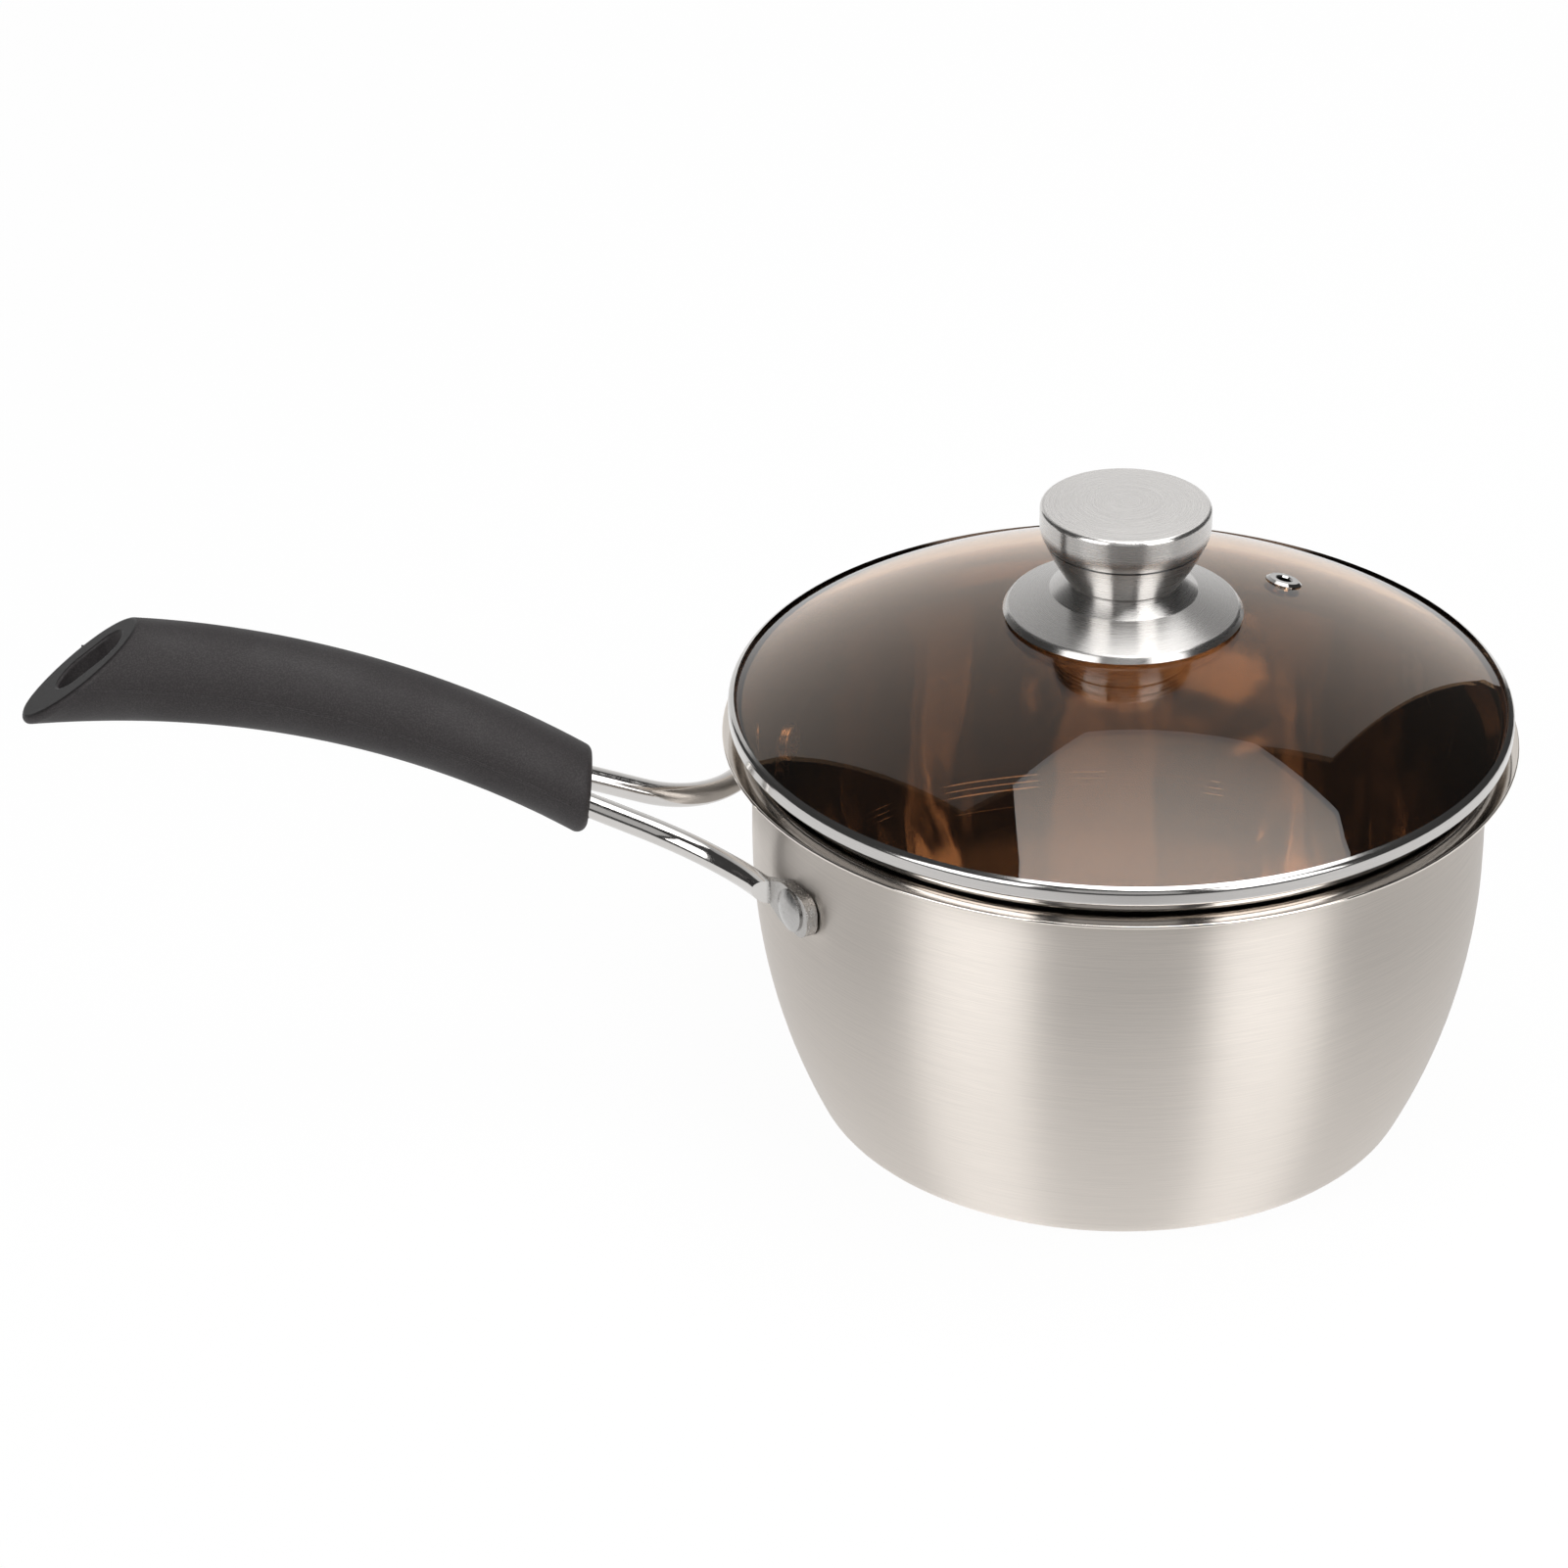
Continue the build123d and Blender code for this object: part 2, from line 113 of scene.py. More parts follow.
def surface_normal(tree):
    """Which way the surface faces."""
    return add_node(tree, "ShaderNodeNewGeometry").outputs["Normal"]


print("helpers for nodes, points and normals")


# %% Arithmetic helpers
def math_node(tree, operation, first, second=0.0):
    """One Math node; returns its value."""
    return add_node(tree, "ShaderNodeMath", {"operation": operation}, i0=first, i1=second).outputs[0]


def vector_node(tree, operation, first, second=(0.0, 0.0, 0.0)):
    """One Vector Math node; returns its vector, or its value for a length or a dot product."""
    node = add_node(tree, "ShaderNodeVectorMath", {"operation": operation}, i0=first, i1=second)
    return node.outputs["Value" if operation in ("LENGTH", "DOT_PRODUCT") else "Vector"]


def split(tree, vector):
    """The x, y and z of a vector."""
    return add_node(tree, "ShaderNodeSeparateXYZ", None, i0=vector).outputs


def join(tree, x=0.0, y=0.0, z=0.0):
    """A vector from its x, y and z."""
    return add_node(tree, "ShaderNodeCombineXYZ", None, i0=x, i1=y, i2=z).outputs[0]


def ramp(tree, value, low, high, to_low=0.0, to_high=1.0, smooth=True):
    """Map a value from one range to another, held at both ends."""
    settings = {"interpolation_type": "SMOOTHSTEP" if smooth else "LINEAR", "clamp": True}
    ranges = {"i1": low, "i2": high, "i3": to_low, "i4": to_high}
    return add_node(tree, "ShaderNodeMapRange", settings, i0=value, **ranges).outputs[0]


def mix_values(tree, share, first, second):
    """Blend two values by a share from 0 to 1."""
    node = add_node(tree, "ShaderNodeMix", {"data_type": "FLOAT"}, i0=share, i2=first, i3=second)
    return node.outputs[0]


def mix_colours(tree, share, first, second):
    """Blend two colours by a share from 0 to 1."""
    node = add_node(tree, "ShaderNodeMix", {"data_type": "RGBA"}, i0=share, i6=first, i7=second)
    return node.outputs[2]


def noise(tree, vector, scale, detail=2.0, roughness=0.5, output="Fac"):
    """Fractal noise from 0 to 1 at so many cycles a metre."""
    inputs = {"Vector": vector, "Scale": scale, "Detail": detail, "Roughness": roughness}
    return add_node(tree, "ShaderNodeTexNoise", None, **inputs).outputs[output]


def grey(level, warmth=0.0):
    """A linear grey, warmed a little by taking blue away."""
    return (level, level * (1 - warmth * 0.5), level * (1 - warmth), 1.0)


print("helpers for values, vectors and colours")

# %% [markdown]
# ## Studio
# Steel and glass look like what they mirror, so the lights are panels with a shape. Blender's area
# lights would do for a matt object, but a mesh panel can have any outline and can fade from its
# foot to its top. Each panel glows on the side that faces the lid, and the camera doesn't see it.

# %% Light panels
LID_CENTRE = np.array([0.0, 0.0, 0.12])
LEAST_FADE = 0.001  # keeps the range of the fade from being empty on a level panel


def make_mesh(name, points, faces, material):
    """A mesh object at the origin from whole arrays of points and faces."""
    mesh = bpy.data.meshes.new(name)
    mesh.from_pydata(np.asarray(points).tolist(), [], np.asarray(faces).tolist())
    mesh.materials.append(material)
    mesh.update()
    piece = bpy.data.objects.new(name, mesh)
    scene.collection.objects.link(piece)
    return piece


def glow(name, low, high, foot_strength, top_strength):
    """Emission on the front of a panel, fading from its foot to its top, and black on its back."""
    material, tree, output = new_material(name)
    height = split(tree, object_point(tree))[2]
    fade = ramp(tree, height, low, high, foot_strength, top_strength, smooth=False)
    back = add_node(tree, "ShaderNodeNewGeometry").outputs["Backfacing"]
    level = math_node(tree, "MULTIPLY", math_node(tree, "SUBTRACT", 1.0, back), fade)
    light = add_node(tree, "ShaderNodeEmission", None, Color=grey(1.0), Strength=level)
    tree.links.new(light.outputs[0], output.inputs["Surface"])
    return material


def light_panel(name, corners, foot_strength, top_strength):
    """One flat polygon of light, turned to face the lid, out of sight of the camera."""
    corners = np.asarray(corners, float)
    normal = np.cross(corners[1] - corners[0], corners[2] - corners[0])
    if normal @ (LID_CENTRE - corners.mean(0)) < 0:
        corners = corners[::-1]
    low = corners[:, 2].min()
    high = corners[:, 2].max() + LEAST_FADE
    material = glow(name, low, high, foot_strength, top_strength)
    panel = make_mesh(name, corners, [np.arange(len(corners))], material)
    panel.visible_camera = False
    print(name, "with strengths", foot_strength, "and", top_strength)


# %% [markdown]
# ## Softboxes and screen
# An eight-sided softbox hangs over the pan, and its reflection is the pale shape on the lid. Two
# tall boxes stand left and right of the camera and draw the two bright bands on the wall. A weak
# one between them keeps the wall from going dark in the middle. A large dim screen leans in from
# behind and lays a grey veil over the far half of the glass.

# %% Softboxes and screen
OVERHEAD_CENTRE = LID_CENTRE + [0.25, 0.15, 1.2]
OVERHEAD_RADII = (0.58, 0.66)
OVERHEAD_TILT = 0.25
OVERHEAD_STRENGTHS = (5.6, 0.9)
BOX_FOOT = 0.15
BOX_TOP = 1.6
BOX_DISTANCE = 1.3
BOX_STRENGTHS = (3.6, 3.6)
LEFT_BOX_TURN = -47
LEFT_BOX_WIDTH = 0.85
RIGHT_BOX_TURN = 40
RIGHT_BOX_WIDTH = 0.80
FILL_TURN = -4
FILL_DISTANCE = 1.5
FILL_WIDTH = 0.90
FILL_STRENGTHS = (0.58, 0.58)
SCREEN_CORNERS = [(-1.02, 1.45, -0.11), (0.80, 1.45, -0.11), (0.80, 0.74, 1.27), (-0.60, 0.48, 1.69)]
SCREEN_STRENGTHS = (1.06, 0.37)


def upright(azimuth, distance, width):
    """Corners of a standing panel at an azimuth in degrees from the camera's side, square to the pan."""
    turn = radians(azimuth)
    foot = distance * np.array([np.sin(turn), -np.cos(turn), 0.0])
    side = width / 2 * np.array([np.cos(turn), np.sin(turn), 0.0])
    low = np.array([0.0, 0.0, BOX_FOOT])
    high = np.array([0.0, 0.0, BOX_TOP])
    return [foot - side + low, foot + side + low, foot + side + high, foot - side + high]


corner_turns = np.radians(22.5 + 45.0 * np.arange(8))
along_x = OVERHEAD_RADII[0] * np.cos(corner_turns)
along_y = OVERHEAD_RADII[1] * np.sin(corner_turns)
octagon = OVERHEAD_CENTRE + np.stack([along_x, along_y, OVERHEAD_TILT * along_y], axis=1)
light_panel("overhead_softbox", octagon, *OVERHEAD_STRENGTHS)
light_panel("left_softbox", upright(LEFT_BOX_TURN, BOX_DISTANCE, LEFT_BOX_WIDTH), *BOX_STRENGTHS)
light_panel("right_softbox", upright(RIGHT_BOX_TURN, BOX_DISTANCE, RIGHT_BOX_WIDTH), *BOX_STRENGTHS)
light_panel("front_fill", upright(FILL_TURN, FILL_DISTANCE, FILL_WIDTH), *FILL_STRENGTHS)
light_panel("back_screen", LID_CENTRE + SCREEN_CORNERS, *SCREEN_STRENGTHS)

# %% [markdown]
# ## Table and room
# The table is white paper that keeps the pan's shadow. Enough light to turn it white would burn
# out the steel, so the camera's own rays see it lifted to white, and so do rays through the glass
# alone. Metal mirrors a white sheet that ends a little in front of the pan, because the dark room
# beyond it gives the knob and the hem their dark lines.

# %% Table and room
TABLE_RADIUS = 6.0
SHEET_CENTRE = (0.0, 1.0, 0.0)
SHEET_EDGE = (1.26, 1.33)
SHEET_GREY = grey(0.90)
BEYOND_GREY = grey(0.10)
CLEAR_SHARE = 0.955
ROOM_STRENGTH = 0.06


def plain_sight(tree):
    """1 for rays that meet a plain white ground: straight from the camera, or through glass alone."""
    path = add_node(tree, "ShaderNodeLightPath")
    unmirrored = math_node(tree, "LESS_THAN", path.outputs["Glossy Depth"], 0.5)
    through = math_node(tree, "MULTIPLY", path.outputs["Is Transmission Ray"], unmirrored)
    return math_node(tree, "MAXIMUM", path.outputs["Is Camera Ray"], through)


def table_paper():
    """White paper: lit and shadowed like any surface, and lifted to white where it is seen."""
    material, tree, output = new_material("table_white")
    reach = vector_node(tree, "LENGTH", vector_node(tree, "SUBTRACT", object_point(tree), SHEET_CENTRE))
    paper = mix_colours(tree, ramp(tree, reach, *SHEET_EDGE), SHEET_GREY, BEYOND_GREY)
    lit = add_node(tree, "ShaderNodeBsdfDiffuse", None, Color=paper)
    white = add_node(tree, "ShaderNodeEmission", None, Color=grey(1.0), Strength=1.0)
    mirrored = add_node(tree, "ShaderNodeLightPath").outputs["Is Glossy Ray"]
    near = math_node(tree, "MULTIPLY", mirrored, ramp(tree, reach, *SHEET_EDGE, 1.0, 0.0))
    clear = math_node(tree, "MULTIPLY", plain_sight(tree), ramp(tree, reach, *SHEET_EDGE, CLEAR_SHARE, 1.0))
    share = math_node(tree, "MAXIMUM", clear, near)
    both = add_node(tree, "ShaderNodeMixShader", None, i0=share, i1=lit.outputs[0], i2=white.outputs[0])
    tree.links.new(both.outputs[0], output.inputs["Surface"])
    return material


def dim_room():
    """World: white for plain sight, and an even, dim room for all other rays."""
    world = bpy.data.worlds.new("room")
    world.use_nodes = True
    tree = world.node_tree
    tree.nodes.clear()
    output = tree.nodes.new("ShaderNodeOutputWorld")
    room = add_node(tree, "ShaderNodeBackground", None, Color=grey(1.0), Strength=ROOM_STRENGTH).outputs[0]
    white = add_node(tree, "ShaderNodeBackground", None, Color=grey(1.0), Strength=1.0).outputs[0]
    both = add_node(tree, "ShaderNodeMixShader", None, i0=plain_sight(tree), i1=room, i2=white)
    tree.links.new(both.outputs[0], output.inputs["Surface"])
    return world


ring = np.radians(np.arange(0, 360, 5.0))
table_points = TABLE_RADIUS * np.stack([np.cos(ring), np.sin(ring), np.zeros(len(ring))], axis=1)
table = make_mesh("table", table_points, [np.arange(len(ring))], table_paper())
scene.world = dim_room()
print("white table of", len(ring), "corners and a dim room")

# %% [markdown]
# ## Turned grain
# The pan, the lid band and the knob are turned against an abrasive belt, so fine scratches run
# round the axis. A picture of brushed steel would need a seam where it meets itself. Noise that is
# squeezed along the profile and stretched round the axis has none. Several finishes share it, so
# it is a node group.

# %% Turned grain
RADIUS_SHARE = 1.7


def grain_group():
    """Noise at (x, y) times Round and height plus 1.7 radii times Across: streaks round the Z axis."""
    group = bpy.data.node_groups.new("turned_grain", "ShaderNodeTree")
    group.interface.new_socket("Point", in_out="INPUT", socket_type="NodeSocketVector")
    group.interface.new_socket("Round", in_out="INPUT", socket_type="NodeSocketFloat")
    group.interface.new_socket("Across", in_out="INPUT", socket_type="NodeSocketFloat")
    group.interface.new_socket("Streak", in_out="OUTPUT", socket_type="NodeSocketFloat")
    start = group.nodes.new("NodeGroupInput").outputs
    end = group.nodes.new("NodeGroupOutput")
    x, y, z = split(group, start["Point"])
    radius = vector_node(group, "LENGTH", join(group, x, y))
    along = math_node(group, "ADD", z, math_node(group, "MULTIPLY", radius, RADIUS_SHARE))
    squeezed = join(
        group,
        math_node(group, "MULTIPLY", x, start["Round"]),
        math_node(group, "MULTIPLY", y, start["Round"]),
        math_node(group, "MULTIPLY", along, start["Across"]),
    )
    group.links.new(noise(group, squeezed, 1.0, 3.0, 0.65), end.inputs["Streak"])
    return group


turned_grain = grain_group()
GRAIN_ACROSS = 5200.0
STREAK_SPAN = (0.25, 0.75)
TONE_SPAN = (0.3, 0.7)


def streak(tree, point, round_scale):
    """The streak value of the turned grain at a point."""
    inputs = {"Point": point, "Round": round_scale, "Across": GRAIN_ACROSS}
    return add_node(tree, "ShaderNodeGroup", {"node_tree": turned_grain}, **inputs).outputs["Streak"]


print("grain group with", len(turned_grain.nodes), "nodes")

# %% [markdown]
# ## Steel
# All the steel is one alloy with different polish. A turned surface spreads its highlights across
# the scratches, which the anisotropic setting gives, with a tangent that runs round the axis. On
# the flat top of the knob that tangent would meet itself in a bow tie, so there it runs straight.

# %% Steel
ACROSS_GRAIN = 0.25
TOP_RISE = (0.85, 0.95)
STRAIGHT = (1.0, 0.0, 0.0, 1.0)


def turned_tangent(tree, flat_top):
    """The direction of the grain: round the Z axis, and straight where a flat top faces up."""
    tangent = add_node(tree, "ShaderNodeTangent", {"direction_type": "RADIAL", "axis": "Z"}).outputs[0]
    if flat_top:
        rise = split(tree, surface_normal(tree))[2]
        tangent = mix_colours(tree, ramp(tree, rise, *TOP_RISE), tangent, STRAIGHT)
    return tangent


def steel(tree, output, colour, roughness, relief, bump, depth, anisotropic=0.0, flat_top=False):
    """A metal shader with a relief that is so many metres deep, and turned grain if it is anisotropic."""
    bumped = add_node(tree, "ShaderNodeBump", None, Strength=bump, Distance=depth, Height=relief)
    inputs = {"Base_Color": colour, "Roughness": roughness, "Normal": bumped.outputs[0]}
    turned = {"Anisotropic": anisotropic, "Anisotropic_Rotation": ACROSS_GRAIN}
    shader = add_node(tree, "ShaderNodeBsdfPrincipled", None, Metallic=1.0, **inputs, **turned)
    if anisotropic > 0:
        tree.links.new(turned_tangent(tree, flat_top), shader.inputs["Tangent"])
    tree.links.new(shader.outputs[0], output.inputs["Surface"])


def finish_node(node, material):
    """Put a finish on a CAD node's own material slots."""
    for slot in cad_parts[node].material_slots:
        slot.material = material
    print(node, "has", material.name)


# %% [markdown]
# ## Marks inside the pan
# The pan is drawn from flat sheet. The punch leaves slow upright waves in the wall and rings in the
# base, which bend the reflections seen through the lid into flames. Polishing leaves fine level
# scratches low on the wall, which catch the light as thin arcs, helped by a painted highlight: the
# pan's material paints them a lighter grey. Modelled waves would need a very fine mesh, so both are
# patterns that the material reads.

# %% Marks inside the pan
DRAW_STREAKS = 5.0
STREAK_START = 7.3
RISE_SCALE = 30.0
SWAY_SCALE = 22.0
RING_SCALE = 130.0
RING_SWIRL = (0.0, 0.04, 0.0)
BASE_EDGE = (0.003, 0.010)
SCRATCH_HEIGHT = 0.044
SCRATCH_REACH = (0.006, 0.010)
SCRATCH_SCALE = 620.0
SCRATCH_SPAN = (0.56, 0.62)
WANDER_SCALE = 14.0
WANDER_HEIGHT = 0.004
BREAK_SCALE = 24.0
BREAK_SPAN = (0.46, 0.60)


def draw_marks(tree, point):
    """Noise on the direction from the axis and on height, swayed a little; rings by radius on the base."""
    x, y, height = split(tree, point)
    flat = join(tree, x, y)
    direction = vector_node(tree, "NORMALIZE", flat)
    around = vector_node(tree, "MULTIPLY", direction, (DRAW_STREAKS, DRAW_STREAKS, DRAW_STREAKS))
    rise = join(tree, STREAK_START, 0.0, math_node(tree, "MULTIPLY", height, RISE_SCALE))
    sway = noise(tree, point, SWAY_SCALE, 1.0, output="Color")
    place = vector_node(tree, "ADD", around, vector_node(tree, "ADD", rise, sway))
    waves = noise(tree, place, 1.0, 1.0, 0.45)
    radius = join(tree, vector_node(tree, "LENGTH", flat))
    swirl = vector_node(tree, "ADD", radius, vector_node(tree, "MULTIPLY", flat, RING_SWIRL))
    return mix_values(tree, ramp(tree, height, *BASE_EDGE, 1.0, 0.0), waves, noise(tree, swirl, RING_SCALE))


def polishing_scratches(tree, point):
    """Thin bands of noise on height, broken along their length, in one zone low on the wall."""
    height = split(tree, point)[2]
    wander = math_node(tree, "MULTIPLY", noise(tree, point, WANDER_SCALE, 1.0), WANDER_HEIGHT)
    level = join(tree, math_node(tree, "ADD", height, wander))
    bands = ramp(tree, noise(tree, level, SCRATCH_SCALE, 2.0, 0.6), *SCRATCH_SPAN)
    broken = ramp(tree, noise(tree, point, BREAK_SCALE), *BREAK_SPAN)
    away = math_node(tree, "ABSOLUTE", math_node(tree, "SUBTRACT", height, SCRATCH_HEIGHT))
    zone = ramp(tree, away, *SCRATCH_REACH, 1.0, 0.0)
    return math_node(tree, "MULTIPLY", math_node(tree, "MULTIPLY", bands, broken), zone)


print("marks: waves round the wall, rings on the base, scratches at", SCRATCH_HEIGHT, "m")

# %% [markdown]
# ## Pan
# The wall is brushed, the flared lip is buffed to a mirror, and the inside is polished, a little
# duller low down. The inside is painted a darker grey than the wall as painted shade, its low belly
# a lighter grey as a painted glow, and the scratches a light grey as painted glints. Three materials
# would need the sheet to be cut in three. One material with masks by height, and by which way the
# surface faces, leaves the CAD node whole.

# %% Pan
FLARE_RADIUS = 0.004
FLARE_START = float(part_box("pan_body")[1][2]) - FLARE_RADIUS
LIP_EDGE = (FLARE_START - 0.0006, FLARE_START + 0.0004)
PAN_MIDDLE = (0.0, 0.0, 0.07)
WALL_GRAIN_ROUND = 60.0
WALL_ANISOTROPY = 0.95
WALL_GREYS = (grey(0.70, 0.14), grey(0.78, 0.14))
WALL_ROUGHNESS = (0.40, 0.46)
LIP_ROUGHNESS = 0.06
# painted shade: the inside of the pan is painted darker than the wall
INSIDE_PAINTED_SHADE_GREY = grey(0.45, 0.10)
INSIDE_ROUGHNESS = (0.05, 0.09)
BELLY_EDGE = (0.024, 0.032)
# painted light: the low belly inside the pan is painted lighter as a glow
BELLY_PAINTED_GLOW = grey(0.55, 0.10)
BELLY_ROUGHNESS = 0.18
# painted highlight: the scratches are real and rougher, and their lighter colour is a painted glint
SCRATCH_PAINTED_GLINT = grey(0.90, 0.10)
SCRATCH_ROUGHNESS = 0.55
WALL_GRAIN_SHARE = 0.0016
WAVE_DEPTH = 0.0012


def brushed_pan():
    """Brushed outside, mirror lip, polished inside with the marks of drawing left in it."""
    material, tree, output = new_material("brushed_pan")
    point = object_point(tree)
    height = split(tree, point)[2]
    grain = streak(tree, point, WALL_GRAIN_ROUND)
    lip = ramp(tree, height, *LIP_EDGE)
    from_middle = vector_node(tree, "SUBTRACT", point, PAN_MIDDLE)
    outward = vector_node(tree, "DOT_PRODUCT", surface_normal(tree), from_middle)
    inside = math_node(tree, "LESS_THAN", outward, 0.0)
    hollow = math_node(tree, "MULTIPLY", inside, math_node(tree, "SUBTRACT", 1.0, lip))
    belly = math_node(tree, "MULTIPLY", ramp(tree, height, *BELLY_EDGE, 1.0, 0.0), hollow)
    scratch = math_node(tree, "MULTIPLY", polishing_scratches(tree, point), hollow)

    wall_rough = ramp(tree, grain, *STREAK_SPAN, *WALL_ROUGHNESS, smooth=False)
    inside_rough = ramp(tree, grain, *STREAK_SPAN, *INSIDE_ROUGHNESS, smooth=False)
    rough = mix_values(tree, inside, wall_rough, inside_rough)
    rough = mix_values(tree, lip, rough, LIP_ROUGHNESS)
    rough = mix_values(tree, belly, rough, BELLY_ROUGHNESS)
    rough = mix_values(tree, scratch, rough, SCRATCH_ROUGHNESS)

    colour = mix_colours(tree, ramp(tree, grain, *TONE_SPAN), *WALL_GREYS)
    # painted shade inside, a painted glow on the belly and painted glints on the scratches
    colour = mix_colours(tree, hollow, colour, INSIDE_PAINTED_SHADE_GREY)
    colour = mix_colours(tree, belly, colour, BELLY_PAINTED_GLOW)
    colour = mix_colours(tree, scratch, colour, SCRATCH_PAINTED_GLINT)

    marks = math_node(tree, "MULTIPLY", draw_marks(tree, point), hollow)
    relief = math_node(tree, "ADD", math_node(tree, "MULTIPLY", grain, WALL_GRAIN_SHARE), marks)
    steel(tree, output, colour, rough, relief, 1.0, WAVE_DEPTH, WALL_ANISOTROPY)
    return material


finish_node("pan_body", brushed_pan())

# %% [markdown]
# ## Knob and lid band
# The knob's cap, cup and skirt and the band round the glass are turned too. The closed seam between
# cap and cup is painted as a dark line of shade, the skirt is painted darker than the cap as painted
# shade, and the band's cut edge and the seat under the glass are painted dark brown as painted shade,
# because they lie in shadow. The painted shade differs, so each finish hands its own shading function
# to one shared recipe.

# %% Knob and lid band
TURNED_GRAIN_ROUND = 80.0
TURNED_WARMTH = 0.05
TONE_SPREAD = 0.04
GRAIN_DEPTH = 0.00002
KNOB_SEAM = float(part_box("knob_cap")[0][2])
# painted shade in the closed seam between cap and cup
PAINTED_SEAM_SHADE = grey(0.06)
SEAM_REACH = (0.0002, 0.0004)
SKIRT_TOP = float(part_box("knob_skirt")[1][2])
SKIRT_EDGE = (SKIRT_TOP - 0.0004, SKIRT_TOP + 0.0002)
# painted shade on the knob's skirt, which is the same steel as the cap
PAINTED_SKIRT_SHADE = 0.28
CUT_EDGE_FACING = (-0.7, -0.5)
SEAT_TOP = 0.1105
SEAT_FACING = (0.3, 0.6)
# painted shade on the band's cut edge and on the seat under the glass
PAINTED_BAND_SHADE = (0.040, 0.027, 0.020, 1.0)


def knob_shading(tree, point, colour):
    """Painted shade: dark in the line of the seam, and darker below the top of the skirt."""
    height = split(tree, point)[2]
    away = math_node(tree, "ABSOLUTE", math_node(tree, "SUBTRACT", height, KNOB_SEAM))
    colour = mix_colours(tree, ramp(tree, away, *SEAM_REACH), PAINTED_SEAM_SHADE, colour)
    # painted shade: the skirt is darkened towards black
    under = ramp(tree, height, *SKIRT_EDGE, PAINTED_SKIRT_SHADE, 0.0)
    return mix_colours(tree, under, colour, grey(0.0))


def band_shading(tree, point, colour):
    """Painted shade: dark brown where the band faces the axis, and on the seat that faces up under the
    glass.
    """
    normal = surface_normal(tree)
    outward = vector_node(tree, "NORMALIZE", vector_node(tree, "MULTIPLY", point, (1.0, 1.0, 0.0)))
    facing = vector_node(tree, "DOT_PRODUCT", normal, outward)
    cut_edge = ramp(tree, facing, *CUT_EDGE_FACING, 1.0, 0.0)
    low = math_node(tree, "LESS_THAN", split(tree, point)[2], SEAT_TOP)
    seat = math_node(tree, "MULTIPLY", low, ramp(tree, split(tree, normal)[2], *SEAT_FACING))
    return mix_colours(tree, math_node(tree, "MAXIMUM", cut_edge, seat), colour, PAINTED_BAND_SHADE)


def turned_steel(name, level, roughness, bump, anisotropic, shading, flat_top=False):
    """Steel with rings round the axis: colour and roughness follow the streaks of the grain."""
    material, tree, output = new_material(name)
    point = object_point(tree)
    grain = streak(tree, point, TURNED_GRAIN_ROUND)
    rough = ramp(tree, grain, *STREAK_SPAN, *roughness, smooth=False)
    dark = grey(level * (1 - TONE_SPREAD), TURNED_WARMTH)
    light = grey(level * (1 + TONE_SPREAD), TURNED_WARMTH)
    colour = mix_colours(tree, ramp(tree, grain, *TONE_SPAN), dark, light)
    colour = shading(tree, point, colour)
    steel(tree, output, colour, rough, grain, bump, GRAIN_DEPTH, anisotropic, flat_top)
    return material


knob_steel = turned_steel("knob_steel", 0.68, (0.24, 0.30), 0.026, 0.88, knob_shading, flat_top=True)
finish_node("knob_cap", knob_steel)
finish_node("knob_cup", knob_steel)
finish_node("knob_skirt", knob_steel)
finish_node("lid_band", turned_steel("band_steel", 0.54, (0.10, 0.18), 0.04, 0.3, band_shading))

# %% [markdown]
# ## Buffed steel
# The eyelet of the vent, the rivets and the knob's fixings are buffed or left as they were headed.
# A plain mirror would look like a drawing, so faint waves bend the reflections and a finer noise
# makes a few dull patches.

# %% Buffed steel
WAVE_SCALE = 180.0
BUFFED_WAVE_BUMP = 0.05
BUFFED_WAVE_DEPTH = 0.0002
BUFFED_SPREAD = 0.08
BUFFED_WARMTH = 0.04
DULL_SCALE = 420.0
DULL_SPAN = (0.35, 0.75)


def buffed_steel(name, roughness, level):
    """Nearly a mirror, with faint waves and a few dull patches."""
    material, tree, output = new_material(name)
    point = object_point(tree)
    waves = noise(tree, point, WAVE_SCALE)
    rough = ramp(tree, noise(tree, point, DULL_SCALE, 4.0, 0.7), *DULL_SPAN, *roughness)
    dark = grey(level * (1 - BUFFED_SPREAD), BUFFED_WARMTH)
    light = grey(level * (1 + BUFFED_SPREAD), BUFFED_WARMTH)
    colour = mix_colours(tree, waves, dark, light)
    steel(tree, output, colour, rough, waves, BUFFED_WAVE_BUMP, BUFFED_WAVE_DEPTH)
    return material


finish_node("vent_eyelet", buffed_steel("polished_steel", (0.05, 0.14), 0.42))
rivet_steel = buffed_steel("rivet_steel", (0.25, 0.42), 0.45)
for rivet in ("left_rivet", "right_rivet"):
    finish_node(rivet, rivet_steel)
plain_steel = buffed_steel("plain_steel", (0.20, 0.35), 0.65)
for fixing in ("knob_nut", "knob_screw", "knob_washer"):
    finish_node(fixing, plain_steel)

# %% [markdown]
# ## Arms
# Each arm is a polished rod whose end is hammered flat into a lug and sheared off round the rivet.
# The lug is satin and its sheared edge is torn. The lug follows the wall, so its distance from the
# pan's axis tells it from the rod, and no second material is needed.

# %% Arms
LUG_FACE_RADIUS = 0.0960
LUG_EDGE = (LUG_FACE_RADIUS - 0.0003, LUG_FACE_RADIUS + 0.0006)
LUG_GREY = grey(0.42, 0.06)
LUG_ROUGHNESS = (0.24, 0.36)
ROD_GREYS = (grey(0.56, 0.06), grey(0.66, 0.06))
ROD_ROUGHNESS = (0.08, 0.16)
ROD_WAVE_SCALE = 160.0
ROD_RIPPLE = 0.03
SHEARED_FACING = (0.5, 0.8)
TORN_SCALE = 900.0
TORN_DEPTH = 0.0004


